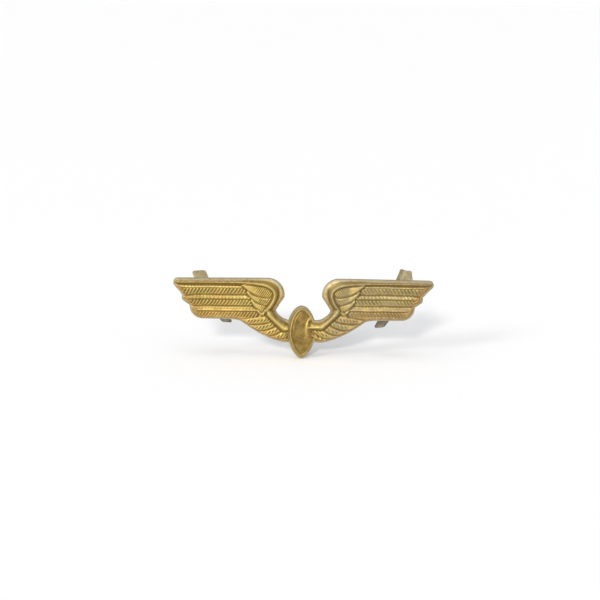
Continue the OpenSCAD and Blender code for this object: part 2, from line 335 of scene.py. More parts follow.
def leaf_relief(height, u, z, leaf, side):
    """Lays one short feather over what is below it. Its lower edge runs from its root to its tip."""
    edge = spline(leaf["edge"])
    within = inside_depth(np.vstack([edge, leaf["back"]]), u, z)
    up, along = near_curve(edge, u, z)
    height = height - 0.16 * mound(up + 0.14, 0.12) * step(0, 0.05, along) * (1 - step(0.9, 1, along))
    up = np.abs(up)
    dome = leaf["level"] + leaf["rise"] * (step(-0.1, 0.4, up) - 0.3 * np.clip(up, 0, 2))
    low, high, end = leaf["bars"]
    row = step(low - 0.1, low + 0.12, up) * (1 - step(high - 0.25, high + 0.15, up))
    row *= 1 - step(end - 1, end + 0.4, u)
    ridges = barb_ridges(u, z, leaf["pitch"], leaf["seed"])
    dome += row * side["barb"] * (0.06 - leaf["cut"] * (1 - ridges))
    return np.where(within > 0, dome, height)


def rim_relief(height, u, z, depth, plate):
    """The leading edge: a crest that runs in from the tip and round the shoulder as a tapering crescent."""
    inner, along = near_curve(spline(RIM_CREST), u, z)
    outside = (inner < 0) & (inner > -2.2) & (along < 0.86)
    height = np.where(outside, plate, height)
    line = 0.1 + 0.1 * step(0.45, 0.6, along) * (1 - step(0.85, 0.97, along))
    height -= line * step(0.1, 0.5, depth) * mound(inner - 0.55, 0.13)
    crest = RIM_TOP - 0.3 * (1 - step(0, 0.03, along)) + 0.2 * step(0.5, 0.65, along)
    crest -= 0.6 * step(0.88, 1, along)
    share = depth / np.maximum(depth + np.abs(inner), 1e-6)
    crescent = step(0.52, 0.66, along) * (1 - step(0.9, 1, along))
    bead = 0.22 + 0.12 * crescent
    flank = EDGE + (crest - bead - EDGE) * share ** 0.8 + bead * mound(inner, 0.34 + 0.16 * crescent)
    fall = crest - PLATE + 0.1
    narrow = crest - fall * np.clip(np.abs(inner) / 0.7, 0, 1.3) ** 1.8
    free = step(0.74, 0.86, along)
    outer = flank * (1 - free) + narrow * free
    inner_w = 0.56 + 0.22 * crescent
    inward = crest - fall * np.clip(inner / inner_w, 0, 1.3) ** (1.5 + 0.7 * crescent)
    reach = 0.5 - 0.3 * step(0.42, 0.55, along)
    dull = np.where(inner < 0, (1 - step(reach, reach + 0.3, share)) * (1 - free), 0)
    return smooth_max(height, np.where(inner > 0, inward, np.where(depth > 0, outer, 0)), 0.05), dull


def bone_relief(height, u, z, depth, side):
    """The arm bone: a round bar that falls to the plate's edge above and into a groove below."""
    off, _ = near_curve(spline([(a, b + side["lift"] * 1.9) for a, b in BONE]), u, z)
    width = 0.8 - 0.18 * (1 - step(2.6, 4.4, u))
    share = depth / np.maximum(depth + np.abs(off), 1e-6)
    flank = EDGE + (BONE_TOP - EDGE) * (1 - (1 - share) ** 1.7)
    above = np.minimum(flank, BONE_TOP - 0.75 * np.clip(-off / 1.1, 0, 1.2) ** 2.2)
    below = BONE_TOP - 1.1 * np.clip(off / width, 0, 1.2) ** 2.6
    height = height - 0.18 * mound(off - width - 0.08, 0.14) * step(0.1, 0.5, depth)
    near = (off < 1.15 * width) & (off > -1.3)
    return smooth_max(height, np.where(near, np.where(off < 0, above, below), 0), 0.06)


def wing_relief(u, z, depth, side):
    """Height of one wing's face above the back, how dull its bevel is, and how browned it is."""
    plate = EDGE + (PLATE - EDGE) * step(0, BEVEL, depth) ** 0.8
    height = plate.copy()
    for i, edge in enumerate(SECONDARIES):
        leaf = {"edge": edge, "back": SECONDARY_BACK, "level": 1.36 + 0.05 * i, "rise": 0.34, "pitch": 0.71,
                "cut": 0.26, "bars": (0.3, 1.05, edge[-1][0] - 0.7), "seed": side["seed"] + 60 + i}
        height = leaf_relief(height, u, z - side["lift"], leaf, side)
    panel = inside_depth(PANEL, u, z - 0.4 * side["lift"])
    height = np.where(panel > 0, primaries_relief(u, z, side), height)
    for i, covert in enumerate(COVERTS):
        leaf = {"back": [(min(covert["edge"][-1][0], 12.0), 8.4)] + COVERT_BACK, "level": 1.66 + 0.06 * i,
                "rise": 0.26, "pitch": 0.5, "cut": 0.3, "seed": side["seed"] + 80 + i, **covert}
        height = leaf_relief(height, u, z - 0.7 * side["lift"], leaf, side)
    ends = step(23.0, 26.5, u)
    face = step(0.03, BEVEL + 0.1 + 0.55 * ends, depth)
    height = plate + (height - plate) * face
    for place, deep in END_STEPS:
        height -= deep * ends * step(8.0, 7.2, z) * mound(depth - place, 0.1)
    height, dull = rim_relief(height, u, z, depth, plate)
    dull = np.maximum(dull, 1 - step(0.15, 0.6 + 0.1 * ends, depth))
    brown = np.maximum(ends * step(8.2, 7.0, z) * (1 - step(1.0, 2.2, depth)), 1 - step(0.5, 1.3, depth))
    brown = np.maximum(brown, 0.6 * step(3.4, 1.2, z) * step(9, 14, u))
    return bone_relief(height, u, z, depth, side), dull, brown


# ---------------------------------------------------------------- relief of the wheel

FACE_C = (-0.12, -3.1)
FACE_A, FACE_B = 2.65, 5.35
BOSS_C = (2.2, -2.85)
BOSS_A, BOSS_B = 1.95, 4.0
LIP = 0.16                                               # how far the face's lip stands proud
SPOKE = [(0.5, -4.2), (0.9, -5.2), (1.35, -6.1)]         # a raised line down the hub
AXLE_SLOT = [(1.7, -3.0), (3.2, -3.05), (4.8, -3.18)]    # the groove under the right arm's end
PITS = ((1.85, -0.8, 0.45, 0.4, 0.4), (2.25, -4.45, 0.16, 0.16, 0.4))    # x, z, half sizes and depth


def wheel_relief(x, z, depth):
    """The flanged wheel seen three-quarter on: its face falls away to the right of a lip."""
    face = lens_depth(x, z, FACE_C, FACE_A, FACE_B)
    turned = step(1.3, -1.3, x)
    plane = CREST - 0.26 - 0.3 * (x - FACE_C[0] + FACE_A) - 0.012 * (z - FACE_C[1]) ** 2
    share = np.clip(depth / np.maximum(depth - face, 1e-6), 0, 1)
    lip = plane + LIP * turned
    height = np.where(face < 0, EDGE + (lip - EDGE) * (1 - (1 - share) ** 1.6), plane)
    height += LIP * turned * mound(np.clip(face, 0, None), 0.1) * (face >= 0)
    height -= (0.05 + 0.06 * turned) * mound(face - 0.3, 0.14)
    boss = lens_depth(x, z, BOSS_C, BOSS_A, BOSS_B)
    cone = 2.5 - 0.42 * (x - BOSS_C[0] + BOSS_A) - 0.03 * (z - BOSS_C[1]) ** 2
    height = smooth_max(height, np.where(boss > 0, cone - 0.4 * (1 - step(0, 0.6, boss)), 0), 0.16)
    spoke, _ = near_curve(SPOKE, x, z)
    height += 0.14 * mound(spoke, 0.16)
    for px, pz, rx, rz, deep in PITS:
        height -= deep * mound(x - px, rx) * mound(z - pz, rz)
    slot, _ = near_curve(AXLE_SLOT, x, z)
    return height - 0.2 * mound(slot, 0.14)


# ---------------------------------------------------------------- the struck plate as one mesh

PITCH = 0.09         # spacing of the grid on the face
BACK_PITCH = 0.34    # spacing of the points on the back
HOLLOW_D = 0.5       # depth of the hollow at its edge
SEAT_RIM = 0.6       # width of the flat rim round each wing's hollow
WHEEL_RIM = 1.0      # width of the flat rim round the wheel's hollow
HOLLOW_RINGS = (0.0, 0.12, 0.3, 0.5)    # rings of points down the hollow's wall, by distance in
WALL_ROWS = ((0.86, 0.0), (0.5, 0.0), (0.1, 0.0), (0.03, 0.02), (0.0, 0.07))    # height, and how far in


def sampled(field, xs, zs, x, z):
    """Value of a grid field at any points."""
    i = np.clip((x - xs[0]) / PITCH, 0, len(xs) - 1.001)
    j = np.clip((z - zs[0]) / PITCH, 0, len(zs) - 1.001)
    i0, j0 = i.astype(int), j.astype(int)
    s, t = i - i0, j - j0
    return ((field[j0, i0] * (1 - s) + field[j0, i0 + 1] * s) * (1 - t)
            + (field[j0 + 1, i0] * (1 - s) + field[j0 + 1, i0 + 1] * s) * t)


def struck_fields():
    """Depth inside the outline, height of the face, and where it is dull and browned, on a grid; a patch
    above the wheel's hub is left unbrowned as a painted highlight.
    """
    xs = np.arange(-HALF_W - 3 * PITCH, HALF_W + 3 * PITCH, PITCH)
    zs = np.arange(FOOT_Z - 3 * PITCH, TOP_Z + 3 * PITCH, PITCH)
    x, z = np.meshgrid(xs, zs)
    wheel_depth = lens_depth(x, z, WHEEL, WHEEL_A, WHEEL_B)
    depth = wheel_depth.copy()
    height = np.where(wheel_depth > 0, wheel_relief(x, z, wheel_depth), 0)
    dull = 1 - step(0.1, 0.6, wheel_depth)
    # The wheel is browned all over and more so under the hub on the right; above the hub on the right the
    # brown is taken away as a painted highlight.
    under_hub, painted_hub_highlight = step(-2.0, -3.6, z), step(-2.2, -1.0, z)
    brown = 0.42 + 0.58 * step(0.7, 1.7, x) * under_hub - 0.42 * step(0.8, 1.6, x) * painted_hub_highlight
    for side in SIDES.values():
        half = side["sign"] * x > -0.5
        u = side["sign"] * x[half]
        wing_depth = inside_depth(wing_outline(side["wear"]), u, z[half])
        inside = wing_depth > 0
        relief, bevel, stain = np.zeros(u.shape), np.ones(u.shape), np.zeros(u.shape)
        spots = u[inside], z[half][inside], wing_depth[inside]
        relief[inside], bevel[inside], stain[inside] = wing_relief(*spots, side)
        higher = relief > height[half]
        dull[half] = np.where(higher, bevel * (1 - step(0.1, 0.5, wheel_depth[half])), dull[half])
        brown[half] = np.where(higher, stain, brown[half])
        height[half] = smooth_max(height[half], relief, 0.04)
        depth[half] = np.maximum(depth[half], wing_depth)
    known = (depth > -1.5 * PITCH).astype(float)
    height = blurred(height * known, 0.75) / np.maximum(blurred(known, 0.75), 1e-6)
    return xs, zs, depth, height, dull, brown


def kept_cells(depth):
    """Grid cells well inside the outline, without cells that meet others only at a corner."""
    inside = depth > 0.3 * PITCH
    cells = inside[:-1, :-1] & inside[1:, :-1] & inside[:-1, 1:] & inside[1:, 1:]
    for _ in range(4):
        a, b = cells[:-1, :-1], cells[1:, 1:]
        c, d = cells[1:, :-1], cells[:-1, 1:]
        first = a & b & ~c & ~d
        second = c & d & ~a & ~b
        cells[:-1, :-1] &= ~first
        cells[1:, :-1] &= ~second
    return cells


def hollow_outlines():
    """Outline of the hollow behind each wing and behind the wheel."""
    points = arc(SHOULDER, SHOULDER_R - SEAT_RIM, 184, 92, 14)
    points += arc(TIP, TIP_R - SEAT_RIM + 0.1, 88, -50, 5)
    points += arc((HALF_W - 7.3, PANEL_Z + CORNER_R), CORNER_R - SEAT_RIM, -5, -90, 8)
    points += [(15, PANEL_Z + SEAT_RIM), (9.8, -0.55), (7.4, 1.5)]
    right = rounded(points)
    turns = np.linspace(0, 2 * math.pi, 64, endpoint=False)
    power = np.where(turns <= math.pi, 1.05, 1.25)
    across = (WHEEL_A - WHEEL_RIM) * np.sign(np.cos(turns)) * np.abs(np.cos(turns)) ** power
    up = 3.4 * np.sign(np.sin(turns)) * np.abs(np.sin(turns)) ** power
    return [right, right * [-1, 1], np.stack([WHEEL[0] + across, WHEEL[1] - 1.3 + up], 1)]


def moved_inward(outline, distance):
    """The outline moved inward along its own normals."""
    tangent = np.roll(outline, -1, axis=0) - np.roll(outline, 1, axis=0)
    normal = np.stack([-tangent[:, 1], tangent[:, 0]], 1) / np.hypot(*tangent.T)[:, None]
    x, z = outline.T
    area = np.sum(x * np.roll(z, -1) - np.roll(x, -1) * z)
    return outline + normal * distance * np.sign(area)


def cells_around(cells, shape):
    """How many of the kept cells meet at each grid point."""
    count = np.zeros(shape, int)
    for dj in (0, 1):
        for di in (0, 1):
            count[dj:dj + cells.shape[0], di:di + cells.shape[1]] += cells
    return count


def open_edges(quads):
    """Edges that only one quad has, as pairs of points in that quad's order."""
    pairs = dict.fromkeys(pair for a, b in ((0, 1), (1, 2), (2, 3), (3, 0))
                          for pair in zip(quads[:, a].tolist(), quads[:, b].tolist()))
    return np.array([(p, q) for p, q in pairs if (q, p) not in pairs])


def struck_plate():
    """The whole badge: relief face, cut edge and hollow back, with attributes for its finish."""
    xs, zs, depth, height, dull, brown = struck_fields()
    cavity = np.clip((blurred(height, 3.2) - height) / 0.1, -1, 1)
    gz, gx = np.gradient(depth, PITCH)
    cells = kept_cells(depth)
    around = cells_around(cells, depth.shape)
    used = around > 0
    rim = used & (around < 4)
    index = np.full(depth.shape, -1)
    index[used] = np.arange(used.sum())
    x, z = np.meshgrid(xs, zs)
    px, pz = x[used], z[used]
    is_rim = rim[used]
    for _ in range(4):
        d = sampled(depth, xs, zs, px[is_rim], pz[is_rim])
        ax = sampled(gx, xs, zs, px[is_rim], pz[is_rim])
        az = sampled(gz, xs, zs, px[is_rim], pz[is_rim])
        square = np.maximum(ax * ax + az * az, 0.25)
        px[is_rim] -= d * ax / square
        pz[is_rim] -= d * az / square
    px = np.clip(px, -HALF_W, HALF_W)
    pz = np.clip(pz, FOOT_Z, TOP_Z)
    h = sampled(height, xs, zs, px, pz)
    h[is_rim] = EDGE
    h += 0.006 * patchy(px, pz, 0.5, SEED) + 0.008 * patchy(px, pz, 1.7, SEED + 1)
    face = np.stack([px, -np.minimum(h, CREST), pz], 1)
    j, i = np.nonzero(cells)
    quads = np.stack([index[j, i], index[j, i + 1], index[j + 1, i + 1], index[j + 1, i]], 1)
    in_face = lens_depth(px, pz, FACE_C, FACE_A, FACE_B)
    in_boss = lens_depth(px, pz, BOSS_C, BOSS_A, BOSS_B)
    sunk = step(0.05, 0.4, in_face) * (1 - step(0, 0.3, in_boss)) * (np.abs(px) < WHEEL_A)

    rim_ids = np.nonzero(is_rim)[0]
    place = np.full(len(px), -1)
    place[rim_ids] = np.arange(len(rim_ids))
    ax = sampled(gx, xs, zs, px[rim_ids], pz[rim_ids])
    az = sampled(gz, xs, zs, px[rim_ids], pz[rim_ids])
    norm = np.maximum(np.hypot(ax, az), 0.5)
    first = len(px)
    count = len(rim_ids)
    rim_x, rim_z = px[rim_ids], pz[rim_ids]
    wall = [np.stack([rim_x + inset * ax / norm, np.full(count, -y), rim_z + inset * az / norm], 1)
            for y, inset in WALL_ROWS]
    border = open_edges(quads)
    p, q = place[border[:, 0]], place[border[:, 1]]
    wall_quads = [np.stack([border[:, 1], border[:, 0], first + p, first + q], 1)]
    for k in range(len(WALL_ROWS) - 1):
        a = first + k * count
        wall_quads.append(np.stack([a + q, a + p, a + count + p, a + count + q], 1))

    back_points, back_faces = back_sheet(wall[-1][:, [0, 2]], np.stack([p, q], 1), xs, zs, depth, height)
    foot = first + (len(WALL_ROWS) - 1) * count    # the wall's lowest points are the back's border
    verts = np.vstack([face] + wall + [back_points[count:]])
    faces = quads.tolist() + np.vstack(wall_quads).tolist() + (foot + back_faces).tolist()
    extra = len(verts) - len(face)
    mesh = bpy.data.meshes.new("badge_shell_struck")
    mesh.from_pydata((verts * MM).tolist(), [], faces)
    for name, on_face, elsewhere in (
            ("groove", sampled(cavity, xs, zs, px, pz), 0),
            ("edge", np.where(is_rim, 1, sampled(dull, xs, zs, px, pz)), 1),
            ("behind", np.zeros(len(face)), 1),
            ("right", step(2, 8, px), 0),
            ("sunk", sunk, 0),
            ("stain", sampled(brown, xs, zs, px, pz), 0)):
        set_attribute(mesh, name, np.concatenate([on_face, np.full(extra, elsewhere)]))
    mesh.shade_smooth()
    return add("struck_badge", mesh)


def back_sheet(border, links, xs, zs, depth, height):
    """The back inside its border: a flat rim, and a hollow behind each wing that follows the relief."""
    soft = blurred(np.where(depth > 0, height, PLATE), 4.5)
    points = [tuple(p) for p in border]
    constraints = [tuple(map(int, c)) for c in links]
    outlines = hollow_outlines()
    for outline in outlines:
        for distance in HOLLOW_RINGS:
            ring = moved_inward(outline, distance)
            start = len(points)
            points += [tuple(p) for p in ring]
            constraints += [(start + k, start + (k + 1) % len(ring)) for k in range(len(ring))]
    x, z = np.meshgrid(np.arange(xs[0], xs[-1], BACK_PITCH), np.arange(zs[0], zs[-1], BACK_PITCH))
    x, z = x.ravel(), z.ravel()
    clear = sampled(depth, xs, zs, x, z) > 0.28
    for outline in outlines:
        within = inside_depth(outline, x, z)
        clear &= (within < -0.2) | (within > 0.66)
    points += list(zip(x[clear], z[clear]))
    points = [Vector(p) for p in points]
    made, _, faces, origins, _, _ = delaunay_2d_cdt(points, constraints, [], 0, 1e-5, True)
    order = np.array([min(o) if len(o) else -1 for o in origins])
    flat = np.array([tuple(p) for p in made])
    middle = flat[np.array([list(f) for f in faces])].mean(1)
    faces = [f for f, d in zip(faces, sampled(depth, xs, zs, *middle.T)) if d > 0]
    x, z = flat.T
    y = np.zeros(len(flat))
    for outline in outlines:
        within = inside_depth(outline, x, z)
        pressed = 0.45 * np.clip(sampled(soft, xs, zs, x, z) - PLATE, 0, 1) * step(0.4, 1.4, within)
        y -= HOLLOW_D * step(-0.02, 0.42, within) + pressed * (within > 0)
    new = np.full(len(flat), -1)
    count = len(border)
    is_border = (order >= 0) & (order < count)
    new[is_border] = order[is_border]
    new[~is_border] = count + np.arange((~is_border).sum())
    out = np.zeros((count + (~is_border).sum(), 3))
    out[new] = np.stack([x, y, z], 1)
    return out, np.array([[new[v] for v in f][::-1] for f in faces])


# ---------------------------------------------------------------- prong fasteners

STRIP_W = 3.6
STRIP_T = 0.5
BEND_GAP = 2.4                   # distance between the two bend lines of a fastener
BEND_PLAY = 0.05                 # gap between the crown and a prong
TWIST = math.radians(35)
TWIST_START, TWIST_END = 0.9, 4.9
TIP_CORNER = 0.7                 # radius of the corners at a prong's tip

# Length and tip width of each prong, how far its inner edge is folded forward and its outer corner snipped
# off, and how dark its tip is made: brown tarnish on the right upper prong, painted shade on the lower ones.
# The lower prongs' darkened tips are painted shade, as if they lay in the wing's shadow.
LOWER = {"length": 10.0, "tip_w": 2.6, "folded": 0, "snip": 0, "tarnish_and_shade": 1.0}
PRONGS = {("left", "lower"): LOWER, ("right", "lower"): LOWER,
          ("left", "upper"): {"length": 8.4, "tip_w": 3.3, "folded": 0, "snip": 0, "tarnish_and_shade": 0.0},
          ("right", "upper"): {"length": 8.4, "tip_w": STRIP_W, "folded": 0.8, "snip": 0.8, "tarnish_and_shade": 0.35}}


def strip_section(n=56, power=9):
    """Unit cross-section of a flat strip, nearly square with rounded edges."""
    t = np.linspace(0, 2 * math.pi, n, endpoint=False)
    c, s = np.cos(t), np.sin(t)
    return np.sign(c) * np.abs(c) ** (2 / power), np.sign(s) * np.abs(s) ** (2 / power)


def skin(rings, name):
    """A closed mesh through rings of points, with a fan over each end."""
    n = len(rings[0])
    verts = np.vstack(rings + [rings[0].mean(0)[None], rings[-1].mean(0)[None]])
    faces = []
    for k in range(len(rings) - 1):
        for i in range(n):
            j = (i + 1) % n
            faces.append((k * n + i, k * n + j, (k + 1) * n + j, (k + 1) * n + i))
    first, last, end = len(verts) - 2, len(verts) - 1, (len(rings) - 1) * n
    for i in range(n):
        j = (i + 1) % n
        faces.append((j, i, first))
        faces.append((end + i, end + j, last))
    mesh = bpy.data.meshes.new(name)
    mesh.from_pydata((verts * MM).tolist(), [], faces)
    return mesh


def prong_mesh(shape, seed):
    """A prong in its own frame: bend along X at the origin, strip along Z, thickness along Y."""
    half, t, tip_r, length = STRIP_W / 2, STRIP_T / 2, TIP_CORNER, shape["length"]
    cx, cy = strip_section()
    shoulder = length - tip_r
    round_root = -t * np.cos(np.linspace(0.12, math.pi / 2, 7))
    round_tip = shoulder + tip_r * np.sin(np.linspace(0.12, math.pi / 2 - 0.12, 9))
    rings = []
    for z in np.concatenate([round_root, np.linspace(0.12, shoulder, 46), round_tip, [length]]):
        root = math.sqrt(max(t * t - min(z, 0) ** 2, 0.0004)) / t
        taper = 1 - (1 - shape["tip_w"] / STRIP_W) * np.clip(z / shoulder, 0, 1)
        corner = max(0.0, z - shoulder)
        pull = tip_r - math.sqrt(max(tip_r * tip_r - corner * corner, 0))
        snip = shape["snip"] * np.clip((z - length + 2.6) / 1.8, 0, 1)
        thin = root * (1 - 0.5 * step(length - 0.25, length, z))
        x = cx * (half * taper - pull - snip * (cx > 0))
        y = cy * t * thin + 0.05 * math.sin(z * 0.8 + seed) * step(0.6, 3, z)
        y = y - shape["folded"] * step(2.5, 3.4, z) * np.clip(-half / 2 - x, 0, None)
        turn = -TWIST * np.clip((z - TWIST_START) / (TWIST_END - TWIST_START), 0, 1)
        x, y = x * math.cos(turn) - y * math.sin(turn), x * math.sin(turn) + y * math.cos(turn)
        rings.append(np.stack([x, y, np.full(len(x), z)], 1))
    mesh = skin(rings, "prong")
    along = np.array([v.co.z / MM for v in mesh.vertices])
    # Darker toward the tip: painted shade on the lower prongs, brown tarnish on the right upper one.
    set_attribute(mesh, "tarnish_and_shade", shape["tarnish_and_shade"] * step(0, 6, along))
    return mesh


def joint_named(name):
    """The frame's joint of that name."""
    return next(j for j in frame["joints"] if j["name"] == name)


def strip_frame(joint, outward):
    """Matrix from a prong's own frame to the badge's, from its bend line and how far it is splayed."""
    axis = Vector(joint["axis"])
    splay = -math.radians(joint["range_deg"][0])
    back = Vector((0, 1, 0))
    along = back * math.cos(splay) + axis.cross(back) * math.sin(splay)
    across = axis if axis.x * outward > 0 else -axis
    thick = along.cross(across) * outward
    matrix = Matrix((across, thick, along)).transposed().to_4x4()
    matrix.translation = Vector(joint["pos_m"])
    return matrix


def fastener_frame(side):
    """Matrix from a fastener's own frame, its strip along Z, to the badge's."""
    a, b = (Vector(joint_named(f"{side}_{which}_bend")["pos_m"]) for which in ("upper", "lower"))
    along = (a - b).normalized()
    back = Vector((0, 1, 0))
    across = back.cross(along)
    matrix = Matrix((across, back, along)).transposed().to_4x4()
    matrix.translation = Vector(((a.x + b.x) / 2, 0, (a.z + b.z) / 2))
    return matrix


def placed(mesh, matrix, name):
    """The object of a closed mesh that was made in its own frame."""
    mesh.transform(matrix)
    if matrix.determinant() < 0:
        mesh.flip_normals()
    mesh.shade_smooth()
    return add(name, mesh)


def crown_mesh(y_low, y_high, half_l):
    """Flat middle of the folded strip, with rounded ends."""
    cx, cy = strip_section()
    rounding = np.array([0, 0.02, 0.06])
    between = np.linspace(-half_l + 0.15, half_l - 0.15, 12)
    rings = []
    for z in np.concatenate([-half_l + rounding, between, half_l - rounding[::-1]]):
        near_end = min(1.0, (half_l - abs(z)) / 0.08)
        round_off = 0.82 + 0.18 * math.sqrt(max(0.0, 1 - (1 - near_end) ** 2))
        x = cx * (STRIP_W / 2) * (0.985 + 0.015 * round_off)
        y = (y_low + y_high) / 2 + cy * (y_high - y_low) / 2 * round_off
        rings.append(np.stack([x, y, np.full(len(x), z)], 1))
    return skin(rings, "crown")


def solder_mesh(floor_y, top_y, half_l, seed):
    """A lumpy pool of solder round the crown, high at its sides and thin at its outer edge."""
    rng = np.random.default_rng(seed)
    lumps = rng.uniform(-1, 1, (6, 2))
    n, rounds = 96, 16
    t = np.linspace(0, 2 * math.pi, n, endpoint=False)
    wave = sum(a * np.cos(k * t + 3 * b) for k, (a, b) in enumerate(lumps, 2)) / 3
    half_x = STRIP_W / 2 + 0.5
    shape = (np.abs(np.cos(t)) ** 4 + np.abs(np.sin(t)) ** 4) ** -0.25
    out_x, out_z = half_x * shape * np.cos(t), half_l * shape * np.sin(t)
    rings = [np.stack([out_x * 0.97, np.full(n, floor_y - 0.12), out_z * 0.97], 1)]
    for s in np.linspace(1, 0.04, rounds):
        grow = 1 + 0.07 * wave * s
        x = np.clip(out_x * s * grow, -half_x - 0.1, half_x + 0.1)
        z = np.clip(out_z * s * grow, -half_l, half_l)
        rise = (top_y - floor_y + 0.03) * np.sqrt(np.clip(1 - s ** 3, 0, 1)) * (1 + 0.12 * wave * s)
        rings.append(np.stack([x, floor_y - 0.03 + rise, z], 1))
    return skin(rings[::-1], "solder")


def fasteners():
    """The two split fasteners with their solder, one behind each wing: object, body, CAD node and slot."""
    for outward, side in ((-1, "left"), (1, "right")):
        for which in ("upper", "lower"):
            prong = f"{side}_{which}_prong"
            mesh = prong_mesh(PRONGS[side, which], outward + (which == "upper"))
            matrix = strip_frame(joint_named(f"{side}_{which}_bend"), outward)
            yield placed(mesh, matrix, f"{side}_{which}_strip"), prong, prong, "prong_brass"
        lo, hi = box_mm(f"{side}_fastener_crown")
        half_l = BEND_GAP / 2 - STRIP_T / 2 - BEND_PLAY
        base = fastener_frame(side)
        mesh = crown_mesh(lo[1], hi[1], half_l)
        yield placed(mesh, base, f"{side}_crown_plate"), "badge", f"{side}_fastener_crown", "prong_brass"
        mesh = solder_mesh(-HOLLOW_D, lo[1] + 0.17, half_l, SEED + outward)
        yield placed(mesh, base, f"{side}_solder_pool"), "badge", f"{side}_solder_joint", "solder"


# ---------------------------------------------------------------- materials

class Nodes:
    """Short way to build a shader's node tree."""

    def __init__(self, name):
        self.material = bpy.data.materials.new(name)
        self.material.use_nodes = True
        self.tree = self.material.node_tree
        self.shader = self.tree.nodes["Principled BSDF"]

    def node(self, kind, inputs=None, **settings):
        """A new node with its settings, and a value or a link for each input."""
        made = self.tree.nodes.new(kind)
        for key, value in settings.items():
            setattr(made, key, value)
        for key, value in (inputs or {}).items():
            self.put(made.inputs[key], value)
        return made

    def put(self, socket, value):
        """Sets a socket to a constant, or links another node's output to it."""
        if isinstance(value, bpy.types.NodeSocket):
            self.tree.links.new(value, socket)
        else:
            socket.default_value = value

    def attribute(self, name):
        """A number stored per vertex by set_attribute."""
        return self.node("ShaderNodeAttribute", attribute_name=name).outputs["Fac"]

    def place(self, scale=(1, 1, 1)):
        """Position on the object in millimetres, stretched."""
        inputs = {0: self.node("ShaderNodeTexCoord").outputs["Object"], 1: tuple(s / MM for s in scale)}
        return self.node("ShaderNodeVectorMath", inputs, operation="MULTIPLY").outputs[0]

    def noise(self, place, scale, detail=4.0, rough=0.55):
        """Cloudy noise around 0.5, with about scale lumps to a millimetre."""
        inputs = {"Vector": place, "Scale": scale, "Detail": detail, "Roughness": rough}
        return self.node("ShaderNodeTexNoise", inputs).outputs["Fac"]

    def ramp(self, value, low, high, to_low=0.0, to_high=1.0):
        """The value's way from low to high, smoothed, as a number from to_low to to_high."""
        inputs = {"Value": value, "From Min": low, "From Max": high, "To Min": to_low, "To Max": to_high}
        return self.node("ShaderNodeMapRange", inputs, interpolation_type="SMOOTHSTEP").outputs["Result"]

    def times(self, a, b):
        return self.node("ShaderNodeMath", {0: a, 1: b}, operation="MULTIPLY").outputs[0]

    def plus(self, a, b):
        return self.node("ShaderNodeMath", {0: a, 1: b}, operation="ADD").outputs[0]

    def mix(self, share, a, b):
        """Colour a, turned into colour b by a share from 0 to 1."""
        return self.node("ShaderNodeMix", {0: share, 6: a, 7: b}, data_type="RGBA").outputs[2]

    def bump(self, height, strength, distance, normal=None):
        """Normal bent by a height; the distance is in millimetres."""
        inputs = {"Height": height, "Strength": strength, "Distance": distance * MM}
        if normal is not None:
            inputs["Normal"] = normal
        return self.node("ShaderNodeBump", inputs).outputs["Normal"]


def rgb(r, g, b):
    """An opaque colour for a socket."""
    return (r, g, b, 1.0)


